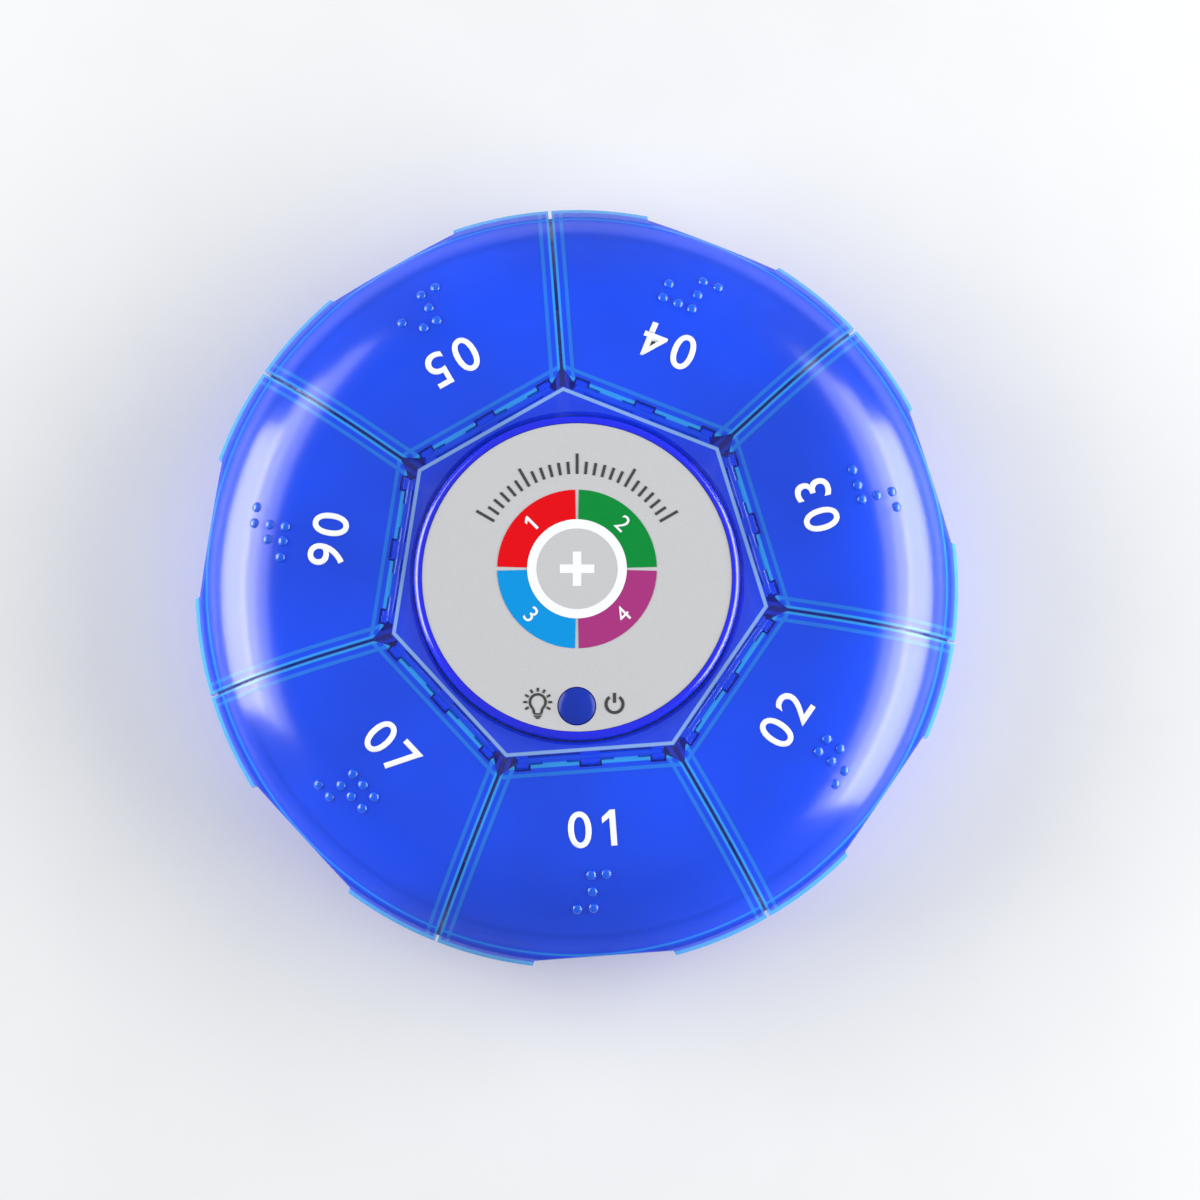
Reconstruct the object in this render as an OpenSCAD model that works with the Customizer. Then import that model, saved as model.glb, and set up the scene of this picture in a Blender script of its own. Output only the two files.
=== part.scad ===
// Round seven-day pill box with hinged domed lids and a lift-out reminder timer.
// Millimetres. +Z is up and the origin is the centre of the base's underside.
// Lid 1 faces -Y, and the lids follow counter-clockwise seen from above.

/* [Overall outline] */
// Radius of the rim, over the lids
rim_r = 58.5; // [57:0.25:61]
// How far the flat at the middle of each lid's rim lies inside the rim's circle
flat_depth = 1.75; // [1:0.05:2.5]
// Half of the width of that flat
flat_half_w = 10.6; // [9:0.1:11.5]
// Height of the lids' flat tops and of the hub's deck
top_z = 25; // [24:0.25:28]
// Width of the curved shoulder between the flat tops and the rim
shoulder_w = 20.5; // [18.5:0.25:22]
// Radius of the curved shoulder, seen in section
dome_r = 25; // [24:0.25:26]

/* [Lids] */
// Wall of each lid
lid_t = 1.3; // [1:0.05:1.5]
// Gap between neighbouring lids
lid_gap = 0.5; // [0.4:0.05:0.8]
// Clearance between a lid's underside and the walls below it
lid_seat_gap = 0.15; // [0.1:0.05:0.3]
// Thickness of the skirt that hangs outside the tray wall
skirt_t = 0.9; // [0.7:0.05:1]
// Level of the skirt's lower edge
skirt_low_z = 11.5; // [10.5:0.25:12]
// Clearance between the skirt and the tray wall
skirt_gap = 0.15; // [0.1:0.05:0.3]
// Thickness of the locating rib under each lid
rib_t = 0.8; // [0.6:0.05:1]
// Depth of the locating rib
rib_h = 2.2; // [1.5:0.1:2.5]
// Clearance between the rib and the dividers
rib_side_gap = 0.3; // [0.2:0.05:0.5]
// Clearance between the rib and the outer wall, which the lid's swing needs
rib_front_gap = 1.65; // [1.5:0.05:2.2]
// Cut across each rear corner of a lid, which lets a neighbour swing past
rear_corner_cut = 1.4; // [1.2:0.1:1.8]
// Distance from a lid's rear edge to its rear rib
rib_rear_inset = 1.2; // [1:0.05:1.6]

/* [Hinges] */
// Width of the slot between the hub and a lid's rear edge
slot_w = 1.4; // [1.35:0.05:1.6]
// Radius of the moulded hinge rod
rod_r = 0.6; // [0.5:0.05:0.6]
// Radial clearance of the rod in its posts
rod_gap = 0.05; // [0.03:0.01:0.08]
// Depth of the rod's middle below the lids' flat tops
rod_depth = 0.66; // [0.62:0.02:0.7]
// Wall of a hinge post round the rod
post_wall = 0.6; // [0.5:0.05:0.8]
// Width of an end post along the rod
end_post_w = 1.8; // [1.4:0.1:2.2]
// Middle of an end post, from the end of the hub's flat side
end_post_inset = 2.465; // [2.265:0.1:2.865]
// Width of the middle post along the rod
mid_post_w = 2.8; // [2:0.1:3.4]
// Width of each web that carries the rod
web_w = 3.6; // [2.5:0.1:4]
// Side clearance of the posts in the lids' notches
post_side_gap = 0.3; // [0.2:0.05:0.4]

/* [Tray] */
// Outer wall of the tray
wall_t = 1.6; // [1.2:0.1:2]
// Floor of the compartments
floor_t = 1.6; // [1.2:0.1:2.4]
// Thickness of the dividers between compartments
divider_t = 2; // [1.6:0.1:2.4]
// Radius of the rounded lower edge of the tray
base_round_r = 12; // [10:0.5:12.5]
// Thinnest wall of the hub, between the timer's well and a flat side
hub_wall = 1.5; // [1.4:0.05:2.2]
// Rounding of the deck's outer edge
lip_round = 0.5; // [0.4:0.05:0.6]
// Clearance round the timer in its well
well_gap = 0.2; // [0.1:0.02:0.26]
// Level of the well's floor
well_floor_z = 8; // [7:0.25:9]
// Thickness of the well's floor
well_floor_t = 1.6; // [1.2:0.1:2.4]
// Radius of the hole for pushing the timer out from below
push_hole_r = 9; // [7:0.5:9.5]

/* [Timer housing] */
// Radius of the timer
timer_r = 24.6; // [22.5:0.1:26]
// Turn of the timer in its well, in degrees
timer_turn = -4.25; // [-10:0.25:10]
// Height that the timer stands above the deck
timer_proud = 1.2; // [0.8:0.1:2]
// Wall of the timer's case
case_t = 1.3; // [1:0.05:1.6]
// Level at which the case and the bezel meet
split_z = 20; // [19:0.25:21]
// Thickness of the bezel's front plate
front_t = 1.5; // [1.3:0.05:1.8]
// Rounding of the bezel's outer edge
bezel_round = 1.1; // [0.8:0.05:1.2]
// Plain margin between the face label and the bezel's rounding
label_margin = 0.2; // [0.1:0.05:0.8]
// Thickness of the label
label_t = 0.25; // [0.15:0.05:0.3]
// Depth of the label's recess
label_recess = 0.35; // [0.3:0.05:0.5]

/* [Push button] */
// Distance of the button's middle from the timer's edge
button_inset = 5.1; // [5:0.1:6]
// Radius of the button's cap
button_r = 2.75; // [2.5:0.05:2.8]
// Clearance round the cap
button_gap = 0.08; // [0.05:0.01:0.15]
// Height of the cap's crown above the label's recess
button_proud = 0.9; // [0.7:0.1:1.2]
// Travel of the button
button_travel = 0.6; // [0.3:0.05:0.6]

/* [Electronics] */
// Level of the circuit board's underside
board_z = 15.6; // [15.4:0.1:16]
// Thickness of the circuit board
board_t = 1.2; // [1:0.1:1.6]
// Clearance between the circuit board and the case's wall
board_gap = 0.7; // [0.5:0.1:1.2]
// Radius of the coin cell
cell_r = 10; // [8:0.5:10]
// Thickness of the coin cell
cell_t = 3.2; // [2.5:0.1:3.2]
// How far the battery door reaches past the cell
door_margin = 2.3; // [2:0.05:2.6]
// Clearance round the door
door_gap = 0.1; // [0.08:0.01:0.15]
// Turn that opens the door, in degrees
door_turn = 45; // [35:1:50]
// Radius of the buzzer
buzzer_r = 6; // [5:0.25:6.5]
// Height of the buzzer
buzzer_h = 5; // [4:0.1:5.5]
// Width of the controller chip's body
chip_w = 7; // [5:0.1:8]
// Width of the light, without its flange
led_w = 3; // [2:0.1:3.2]
// Length of the crystal's can
crystal_l = 6; // [4:0.1:8]

/* [Hidden] */
$fn = 96;
eps = 0.05;
lids = 7;
step_a = 360 / lids;
half_a = step_a / 2;

// Hub, well and rim, worked out from the outline and the timer
well_r = timer_r + well_gap;
hub_apothem = well_r + hub_wall;
hub_half_side = hub_apothem * tan(half_a);
flat_dist = rim_r - flat_depth;
dome_start_r = rim_r - shoulder_w;
flat_cut_deep = 4;
flat_cut_flare = 2;

// Lids and tray
lid_under_r = dome_r - lid_t;
seat_r = lid_under_r - lid_seat_gap;
under_z = top_z - lid_t;
seat_z = under_z - lid_seat_gap;
dome_z = top_z - dome_r;
wall_r = rim_r - skirt_t - skirt_gap;
wall_flat = flat_dist - lid_seat_gap;
lid_rear = hub_apothem + slot_w;
rod_u = hub_apothem + slot_w / 2;
rod_z = top_z - rod_depth;
bore_r = rod_r + rod_gap;
post_front = rod_u + bore_r + post_wall;
post_top = rod_z + bore_r * 0.85;
end_post_at = hub_half_side - end_post_inset;
web_at = (mid_post_w + 2 * end_post_at - end_post_w) / 4;
rod_end_inset = 0.3;
rod_half = end_post_at + end_post_w / 2 - rod_end_inset;
post_chamfer = 0.3;
post_root = 0.3;
post_h = 4;
hub_overlap = 0.8;
far = 2 * rim_r;

// Timer levels
case_low = well_floor_z;
case_floor_top = case_low + case_t;
bezel_top = top_z + timer_proud;
recess_z = bezel_top - label_recess;
plate_low = recess_z - front_t;
board_top = board_z + board_t;
door_r = cell_r + door_margin;
door_hole_r = door_r + door_gap;
door_seat_gap = 0.1;
lug_t = 0.8;
lug_w = 4;
lug_notch_w = 4.8;
lug_root = 1;
lug_reach = 0.8;
lug_gap = 0.1;
door_low = case_low + door_seat_gap;
chamber_wall = 1;
chamber_r = door_hole_r + lug_reach + 0.2;
cell_gap = 0.3;
cell_low = case_floor_top + cell_gap;
cell_top = cell_low + cell_t;
contact_t = 0.2;
chamber_roof = cell_top + contact_t;
roof_t = 1;
coin_slot_l = 12;
coin_slot_w = 1.8;
coin_slot_deep = 0.6;
cell_ring_gap = 0.3;
cell_ring_wall = 0.9;
cell_step = 0.4;
cell_step_in = 1.2;

// Bezel and label
plug_h = 1.5;
plug_wall = 1;
plug_gap = 0.1;
plug_root = 1;
label_gap = 0.1;
label_r = timer_r - bezel_round - label_margin;
button_at = timer_r - button_inset;
board_r = timer_r - case_t - board_gap;

// Push switch under the button
switch_w = 4.5;
switch_h = 3.6;
plunger_r = 1.2;
plunger_out = 0.9;
plunger_h = plunger_out + 1;
plunger_top = board_top + switch_h + plunger_out;
switch_bore = plunger_h - plunger_out + button_travel + 0.2;

// Button cap
crown_h = 0.7;
crown_r = (button_r * button_r + crown_h * crown_h) / (2 * crown_h);
cap_z = recess_z + button_proud - crown_h;
flange_reach = 0.8;
flange_t = 0.8;
flange_gap = 0.3;
flange_z = plate_low - flange_t - flange_gap;
stem_r = 1.2;

// Parts on the board, with their places as shares of its radius
led_place = [-0.354, -0.62] * board_r;
led_flange = 0.4;
led_flange_h = 0.8;
led_h = 3;
buzzer_place = [-0.354, 0.221] * board_r;
buzzer_hole_r = 1;
chip_place = [0.221, 0.044] * board_r;
chip_h = 1.4;
chip_lift = 0.2;
leg_l = 1.1;
leg_w = 0.4;
leg_pitch = 1.27;
leg_root = 0.3;
crystal_place = [0.177, -0.354] * board_r;
crystal_r = 1.2;
resistor_place = [-0.133, 0.487] * board_r;
resistor_pitch = 3;
resistor_size = [2, 1.2, 0.5];

// Battery contacts
clip_w = 4;
clip_low = 1;
clip_gap = 0.05;
disc_r = 3;
tongue_w = 1.6;
tongue_at = 2.8;
slot_side = 0.2;

// Screws
case_screw_inset = 5.3;
case_screw_at = timer_r - case_screw_inset;
case_screw_l = 9;
board_screw_inset = 4;
board_screw_at = board_r - board_screw_inset;
board_screw_l = 4.5;
screw_sink = 0.4;
case_boss_h = 2;
case_screw_a = [30, 150, 225];
board_screw_a = [90, 200, 340];
screw_r = 0.8;
screw_hole_r = 0.85;
head_r = 1.5;
head_h = 1;
head_gap = 0.2;
boss_r = 2.1;

// Section of everything below a shoulder of radius r, with a flat top at level z
module dome_section(r, z) {
    square([dome_start_r, z]);
    intersection() {
        translate([dome_start_r, dome_z]) circle(r, $fn = 180);
        translate([dome_start_r - 1, 0]) square([far, z]);
    }
}

// Section of a bowl of radius r at the wall, with a rounded lower edge
module bowl_section(r, low, round_r) {
    translate([0, low]) square([r - round_r, top_z]);
    translate([0, low + round_r]) square([r, top_z]);
    translate([r - round_r, low + round_r]) circle(round_r);
}

// Plan of one lid's sector, inset by d from the dividing lines
module sector_plan(d, rear) {
    side = d / cos(half_a);
    polygon([
        [rear, -(rear * tan(half_a) - side)],
        [far, -(far * tan(half_a) - side)],
        [far, far * tan(half_a) - side],
        [rear, rear * tan(half_a) - side]
    ]);
}

// Plan of what a flat cuts away, at distance d from the middle
module flat_plan(d, half_w) {
    outer = d + flat_cut_deep;
    outer_half = half_w + flat_cut_flare;
    polygon([[d, -half_w], [outer, -outer_half], [outer, outer_half], [d, half_w]]);
}

// Turns a piece that is drawn along +X to lid number i
module at_lid(i) {
    rotate([0, 0, -90 + step_a * (i - 1)]) children();
}

// Turns the timer's pieces, which are drawn with their button towards -Y
module at_timer() {
    rotate([0, 0, timer_turn]) children();
}

// Section of a hinge post, drawn in X and Z
module post_section() {
    difference() {
        polygon([
            [hub_apothem - post_root, rod_z - post_h],
            [post_front, rod_z - bore_r - post_wall],
            [post_front, post_top - post_chamfer],
            [post_front - post_chamfer, post_top],
            [hub_apothem - post_root, post_top]
        ]);
        translate([rod_u, rod_z]) circle(bore_r);
    }
}

// A bar of the section given as child, w wide and centred at v along Y
module along_hinge(v, w) {
    translate([0, v + w / 2, 0]) rotate([90, 0, 0]) linear_extrude(w) children();
}

module hinge_posts() {
    along_hinge(0, mid_post_w) post_section();
    for (s = [-1, 1]) along_hinge(s * end_post_at, end_post_w) post_section();
}

// One compartment's hollow, which runs a little way into the hub
module compartment() {
    intersection() {
        rotate_extrude(angle = 360, $fn = 180)
            bowl_section(wall_r - wall_t, floor_t, base_round_r - wall_t);
        linear_extrude(far) difference() {
            sector_plan(divider_t / 2, hub_apothem - hub_overlap);
            flat_plan(wall_flat - wall_t, flat_half_w);
        }
    }
}

// Outer wall, floor and dividers
module tray_shell() {
    difference() {
        rotate_extrude(angle = 360, $fn = 180) intersection() {
            dome_section(seat_r, seat_z);
            bowl_section(wall_r, 0, base_round_r);
        }
        for (i = [1 : lids]) at_lid(i) {
            compartment();
            translate([0, 0, -1]) linear_extrude(far) flat_plan(wall_flat, flat_half_w);
        }
        translate([0, 0, -1]) cylinder(r = well_r + hub_wall / 3, h = far);
    }
}

// Rounds the deck's edge along one side of the hub
module lip_rounding() {
    along_hinge(0, 2 * hub_apothem) difference() {
        translate([hub_apothem - lip_round, top_z - lip_round]) square(lip_round + 1);
        translate([hub_apothem - lip_round, top_z - lip_round]) circle(lip_round);
    }
}

// Seven-sided hub with the timer's well above and a hollow below
module hub() {
    difference() {
        rotate([0, 0, -90 + half_a])
            cylinder(r = hub_apothem / cos(half_a), h = top_z, $fn = lids);
        for (i = [1 : lids]) at_lid(i) lip_rounding();
        translate([0, 0, well_floor_z]) cylinder(r = well_r, h = top_z);
        translate([0, 0, top_z - lip_round]) cylinder(r1 = well_r, r2 = well_r + 1, h = 1);
        translate([0, 0, -1]) cylinder(r = well_r, h = 1 + well_floor_z - well_floor_t);
        translate([0, 0, -1]) cylinder(r = push_hole_r, h = far);
    }
}

module tray() {
    color("royalblue") {
        tray_shell();
        hub();
        for (i = [1 : lids]) at_lid(i) hinge_posts();
    }
}

// Section of the lid's shell and of the skirt at its rim
module lid_section() {
    intersection() {
        union() {
            difference() {
                square(far);
                dome_section(lid_under_r, under_z);
            }
            translate([rim_r - skirt_t, 0]) square([skirt_t, far]);
        }
        dome_section(dome_r, top_z);
        translate([0, skirt_low_z]) square([rim_r, far]);
    }
}

// Plan of a lid, with its rear corners cut
module lid_plan() {
    corner_v = lid_rear * tan(half_a) - lid_gap / 2 / cos(half_a);
    difference() {
        sector_plan(lid_gap / 2, lid_rear);
        for (s = [-1, 1]) polygon([
            [lid_rear - 1, s * (corner_v - rear_corner_cut)],
            [lid_rear, s * (corner_v - rear_corner_cut)],
            [lid_rear + rear_corner_cut * cos(half_a), s * (corner_v + rear_corner_cut * sin(half_a))],
            [lid_rear + rear_corner_cut * cos(half_a), s * (corner_v + 2)],
            [lid_rear - 1, s * (corner_v + 2)]
        ]);
    }
}

module rib_plan() {
    rib_r = wall_r - wall_t - rib_front_gap;
    side = divider_t / 2 + rib_side_gap;
    difference() {
        intersection() {
            sector_plan(side, lid_rear + rib_rear_inset);
            circle(rib_r);
        }
        intersection() {
            sector_plan(side + rib_t, lid_rear + rib_rear_inset + rib_t);
            circle(rib_r - rib_t);
        }
    }
}

module lid_rib() {
    intersection() {
        rotate_extrude(angle = 360, $fn = 180) difference() {
            dome_section(lid_under_r + eps * 4, under_z + eps * 4);
            dome_section(lid_under_r - rib_h, under_z - rib_h);
        }
        linear_extrude(far) rib_plan();
    }
}

module hinge_rod() {
    along_hinge(0, 2 * rod_half) translate([rod_u, rod_z]) circle(rod_r);
    for (s = [-1, 1]) along_hinge(s * web_at, web_w)
        translate([rod_u, rod_z - rod_r]) square([lid_rear - rod_u + 0.5, 2 * rod_r]);
}

module post_notches() {
    notch_front = post_front + post_side_gap;
    widths = [[0, mid_post_w], [end_post_at, end_post_w], [-end_post_at, end_post_w]];
    for (p = widths) translate([lid_rear - 1, p[0] - p[1] / 2 - post_side_gap, under_z - 1])
        cube([notch_front - lid_rear + 1, p[1] + 2 * post_side_gap, lid_t + 2]);
}

module lid(i) {
    at_lid(i) color("dodgerblue", 0.8) {
        difference() {
            intersection() {
                rotate_extrude(angle = 360, $fn = 180) lid_section();
                linear_extrude(far) lid_plan();
            }
            linear_extrude(far) flat_plan(flat_dist, flat_half_w);
            post_notches();
        }
        lid_rib();
        hinge_rod();
    }
}

// Places children at each screw angle, at radius r
module at_screws(r, angles) {
    for (a = angles) rotate([0, 0, a]) translate([r, 0, 0]) children();
}

// Round chamber for the cell, with a ring that centres it
module battery_chamber() {
    ring_r = cell_r + cell_ring_gap;
    difference() {
        translate([0, 0, case_floor_top - eps])
            cylinder(r = chamber_r + chamber_wall, h = chamber_roof + roof_t - case_floor_top + eps);
        translate([0, 0, case_low - 1]) cylinder(r = chamber_r, h = chamber_roof - case_low + 1);
    }
    difference() {
        translate([0, 0, cell_low + clip_low])
            cylinder(r = ring_r + cell_ring_wall, h = chamber_roof + roof_t / 2 - cell_low - clip_low);
        translate([0, 0, cell_low]) cylinder(r = ring_r, h = chamber_roof - cell_low);
    }
}

// Notches that let the door's lugs through when it is turned open
module lug_notches() {
    for (s = [0, 180]) rotate([0, 0, s + door_turn]) translate([0, 0, case_low - 1])
        intersection() {
            translate([door_r - lug_root, -lug_notch_w / 2, 0])
                cube([lug_root + 2 * lug_reach, lug_notch_w, case_t + 1.5]);
            cylinder(r = door_r + lug_reach + door_gap, h = case_t + 2);
        }
}

module timer_case() {
    at_timer() color("mediumblue") difference() {
        union() {
            difference() {
                translate([0, 0, case_low]) cylinder(r = timer_r, h = split_z - case_low);
                translate([0, 0, case_floor_top]) cylinder(r = timer_r - case_t, h = far);
            }
            battery_chamber();
            at_screws(board_screw_at, board_screw_a) translate([0, 0, case_floor_top - eps])
                cylinder(r = boss_r, h = board_z - case_floor_top + eps);
            at_screws(case_screw_at, case_screw_a) translate([0, 0, case_floor_top - eps])
                cylinder(r = boss_r + screw_sink, h = case_boss_h + eps);
        }
        translate([0, 0, case_low - 1]) cylinder(r = door_hole_r, h = case_t + 1.5);
        lug_notches();
        at_screws(board_screw_at, board_screw_a) translate([0, 0, case_floor_top + 1])
            cylinder(r = screw_hole_r, h = far);
        at_screws(case_screw_at, case_screw_a) {
            translate([0, 0, case_low - 1]) cylinder(r = screw_hole_r + head_gap, h = far);
            translate([0, 0, case_low - 1]) cylinder(r = head_r + head_gap, h = 1 + head_h + screw_sink);
        }
        positive_slot();
        negative_slot();
    }
}

module bezel_section() {
    difference() {
        union() {
            translate([0, split_z]) square([timer_r, bezel_top - bezel_round - split_z]);
            translate([0, split_z]) square([timer_r - bezel_round, bezel_top - split_z]);
            translate([timer_r - bezel_round, bezel_top - bezel_round]) circle(bezel_round);
        }
        translate([-1, split_z - 1]) square([timer_r - case_t + 1, plate_low - split_z + 1]);
        translate([-1, recess_z]) square([label_r + label_gap + 1, far]);
        translate([-far, -1]) square([far, far]);
    }
}

module timer_bezel() {
    plug_r = timer_r - case_t - plug_gap;
    at_timer() color("blue") difference() {
        union() {
            rotate_extrude(angle = 360, $fn = 180) bezel_section();
            // lip that plugs into the case
            translate([0, 0, split_z - plug_h]) difference() {
                cylinder(r = plug_r, h = plug_h + plug_root);
                translate([0, 0, -1]) cylinder(r = plug_r - plug_wall, h = plug_h + plug_root + 2);
            }
            // ring that joins the plugging lip to the bezel's wall
            translate([0, 0, split_z + plug_root / 2]) difference() {
                cylinder(r = plug_r + 3 * plug_gap, h = plug_root);
                translate([0, 0, -1]) cylinder(r = plug_r - plug_wall, h = plug_root + 2);
            }
            at_screws(case_screw_at, case_screw_a)
                translate([0, 0, case_floor_top + case_boss_h])
                    cylinder(r = boss_r, h = plate_low - case_floor_top - case_boss_h + eps);
        }
        at_screws(case_screw_at, case_screw_a) translate([0, 0, case_floor_top])
            cylinder(r = screw_hole_r, h = plate_low - case_floor_top - 1);
        translate([0, -button_at, plate_low - 1]) cylinder(r = button_r + button_gap, h = far);
    }
}

module face_label() {
    at_timer() color("lightgray") difference() {
        translate([0, 0, recess_z]) cylinder(r = label_r, h = label_t);
        translate([0, -button_at, recess_z - 1])
            cylinder(r = button_r + button_gap + label_gap, h = 2 + label_t);
    }
}

// The cap's crown is part of a ball, and its flange stays behind the front plate
module push_button() {
    at_timer() translate([0, -button_at, 0]) color("navy") {
        rotate_extrude(angle = 360) {
            translate([0, flange_z]) square([button_r, cap_z - flange_z]);
            translate([0, flange_z]) square([button_r + flange_reach, flange_t]);
            intersection() {
                translate([0, cap_z + crown_h - crown_r]) circle(crown_r, $fn = 180);
                translate([0, cap_z - eps]) square([button_r, crown_h + 1]);
            }
        }
        translate([0, 0, plunger_top]) cylinder(r = stem_r, h = flange_z - plunger_top + eps);
    }
}

module switch_plunger() {
    at_timer() translate([0, -button_at, plunger_top - plunger_h]) color("black")
        cylinder(r = plunger_r, h = plunger_h);
}

module switch_body() {
    at_timer() translate([0, -button_at, board_top]) color("dimgray") difference() {
        translate([-switch_w / 2, -switch_w / 2, 0]) cube([switch_w, switch_w, switch_h]);
        translate([0, 0, switch_h - switch_bore]) cylinder(r = plunger_r + 0.05, h = switch_bore + 1);
    }
}

module circuit_board() {
    at_timer() color("darkgreen") difference() {
        translate([0, 0, board_z]) cylinder(r = board_r, h = board_t);
        at_screws(case_screw_at, case_screw_a) translate([0, 0, board_z - 1])
            cylinder(r = boss_r + 0.3, h = 4);
        at_screws(board_screw_at, board_screw_a) translate([0, 0, board_z - 1])
            cylinder(r = screw_hole_r + 0.1, h = 4);
    }
}

module status_led() {
    at_timer() translate([led_place.x, led_place.y, board_top]) color("white") {
        cylinder(r = led_w / 2 + led_flange, h = led_flange_h);
        cylinder(r = led_w / 2, h = led_h);
        translate([0, 0, led_h]) sphere(r = led_w / 2);
    }
}

module buzzer() {
    at_timer() translate([buzzer_place.x, buzzer_place.y, board_top]) color("black") difference() {
        cylinder(r = buzzer_r, h = buzzer_h);
        translate([0, 0, buzzer_h - buzzer_hole_r]) cylinder(r = buzzer_hole_r, h = buzzer_h);
    }
}

module controller_chip() {
    at_timer() translate([chip_place.x, chip_place.y, board_top]) color("black") {
        translate([-chip_w / 2, -chip_w / 2, chip_lift]) cube([chip_w, chip_w, chip_h]);
        for (s = [0 : 3]) rotate([0, 0, 90 * s]) for (k = [-2 : 2])
            translate([chip_w / 2 - leg_root, k * leg_pitch - leg_w / 2, 0])
                cube([leg_l, leg_w, 2 * chip_lift]);
    }
}

module crystal() {
    at_timer() translate([crystal_place.x - crystal_l / 2, crystal_place.y, board_top + crystal_r])
        color("silver") rotate([0, 90, 0]) cylinder(r = crystal_r, h = crystal_l);
}

module chip_resistors() {
    at_timer() color("dimgray") for (k = [0 : 4])
        translate([resistor_place.x + k * resistor_pitch, resistor_place.y, board_top])
            cube(resistor_size);
}

module coin_cell() {
    at_timer() color("silver") {
        translate([0, 0, cell_low]) cylinder(r = cell_r, h = cell_t - cell_step);
        translate([0, 0, cell_low]) cylinder(r = cell_r - cell_step_in, h = cell_t);
    }
}

module positive_slot() {
    translate([-clip_w / 2 - slot_side, cell_r - slot_side, cell_low + clip_low - slot_side])
        cube([clip_w + 2 * slot_side, cell_ring_wall, far]);
}

module negative_slot() {
    translate([-tongue_w / 2 - slot_side, -tongue_at - 2 * slot_side, cell_top])
        cube([tongue_w + 2 * slot_side, contact_t + 4 * slot_side, far]);
}

module cell_clip_positive() {
    at_timer() color("gold") translate([-clip_w / 2, cell_r + clip_gap, cell_low + clip_low])
        cube([clip_w, contact_t, board_z - cell_low - clip_low]);
}

module cell_contact_negative() {
    at_timer() color("gold") {
        translate([0, 0, cell_top]) cylinder(r = disc_r, h = contact_t);
        translate([-tongue_w / 2, -tongue_at, cell_top])
            cube([tongue_w, contact_t, board_z - cell_top]);
    }
}

// Round door whose two lugs turn over the case's floor, with a slot for a coin
module battery_door() {
    lug_low = case_floor_top + lug_gap;
    at_timer() color("mediumblue") difference() {
        union() {
            translate([0, 0, door_low]) cylinder(r = door_r, h = case_floor_top - door_low);
            for (s = [0, 180]) rotate([0, 0, s]) intersection() {
                translate([door_r - lug_root, -lug_w / 2, case_floor_top - eps])
                    cube([lug_root + 2 * lug_reach, lug_w, lug_gap + lug_t + eps]);
                union() {
                    translate([0, 0, door_low]) cylinder(r = door_r, h = far);
                    translate([0, 0, lug_low]) cylinder(r = door_r + lug_reach, h = far);
                }
            }
        }
        translate([-coin_slot_l / 2, -coin_slot_w / 2, door_low - 1])
            cube([coin_slot_l, coin_slot_w, 1 + coin_slot_deep]);
    }
}

module case_screws() {
    at_timer() color("silver") at_screws(case_screw_at, case_screw_a) {
        translate([0, 0, case_low + screw_sink]) cylinder(r = head_r, h = head_h);
        translate([0, 0, case_low + screw_sink]) cylinder(r = screw_r, h = case_screw_l);
    }
}

module board_screws() {
    at_timer() color("silver") at_screws(board_screw_at, board_screw_a) {
        translate([0, 0, board_top]) cylinder(r = head_r, h = head_h);
        translate([0, 0, board_top - board_screw_l])
            cylinder(r = screw_r, h = board_screw_l + eps);
    }
}

tray();
lid(1);  // lid_1
lid(2);  // lid_2
lid(3);  // lid_3
lid(4);  // lid_4
lid(5);  // lid_5
lid(6);  // lid_6
lid(7);  // lid_7
timer_case();
timer_bezel();
face_label();
push_button();
switch_plunger();
switch_body();
circuit_board();
status_led();
buzzer();
controller_chip();
crystal();
chip_resistors();
coin_cell();
cell_clip_positive();
cell_contact_negative();
battery_door();
case_screws();
board_screws();
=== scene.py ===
"""Round weekly pill box with a reminder timer: finishes, print and small parts."""
import math

import bmesh
import bpy
from mathutils import Matrix, Vector


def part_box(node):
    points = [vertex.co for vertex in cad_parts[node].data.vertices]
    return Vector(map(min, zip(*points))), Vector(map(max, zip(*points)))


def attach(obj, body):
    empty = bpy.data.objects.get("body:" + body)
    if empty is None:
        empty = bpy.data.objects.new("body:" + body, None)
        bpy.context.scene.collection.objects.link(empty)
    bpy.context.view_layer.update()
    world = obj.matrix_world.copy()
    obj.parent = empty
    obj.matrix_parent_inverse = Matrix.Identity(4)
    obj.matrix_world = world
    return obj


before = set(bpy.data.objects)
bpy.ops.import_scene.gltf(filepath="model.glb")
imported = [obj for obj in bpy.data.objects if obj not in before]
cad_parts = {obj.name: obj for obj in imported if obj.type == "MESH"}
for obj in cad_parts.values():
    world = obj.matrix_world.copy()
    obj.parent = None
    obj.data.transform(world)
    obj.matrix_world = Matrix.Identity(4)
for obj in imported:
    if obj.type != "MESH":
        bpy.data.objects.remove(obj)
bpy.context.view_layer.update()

bl_info = {
    "name": "Weekly Pill Box",
    "version": (1, 0, 0),
    "blender": (4, 5, 0),
    "location": "View3D > Sidebar > Pill Box",
    "description": "Dresses a round seven-day pill box with hinged clear lids and a timer",
    "category": "Object",
}

MM = 0.001
LIDS = 7
LID_STEP = math.tau / LIDS
TIMER_TURN = math.radians(-4.25)
LABEL_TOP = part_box("face_label")[1].z
LID_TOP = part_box("lid_1")[1].z
DOME_START_R = 38 * MM  # where the lids' flat tops end
DOME_R = 25 * MM
HUB_APOTHEM = 26.3 * MM
DIGIT_SHARE = 0.70  # height of a digit in the built-in font of size 1
BOLD = 0.06 * MM  # how far the strokes of a large numeral are widened
BOLD_FROM = 4 * MM
LAYER = 0.035 * MM  # lift of print that lies on other print
FACE_LIFT = 0.02 * MM
LID_LIFT = 0.03 * MM
MARK_LIFT = 0.01 * MM
MARK_THICKNESS = 0.03 * MM
TRACK_THICKNESS = 0.05 * MM


# Directions and heights on the box


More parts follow.
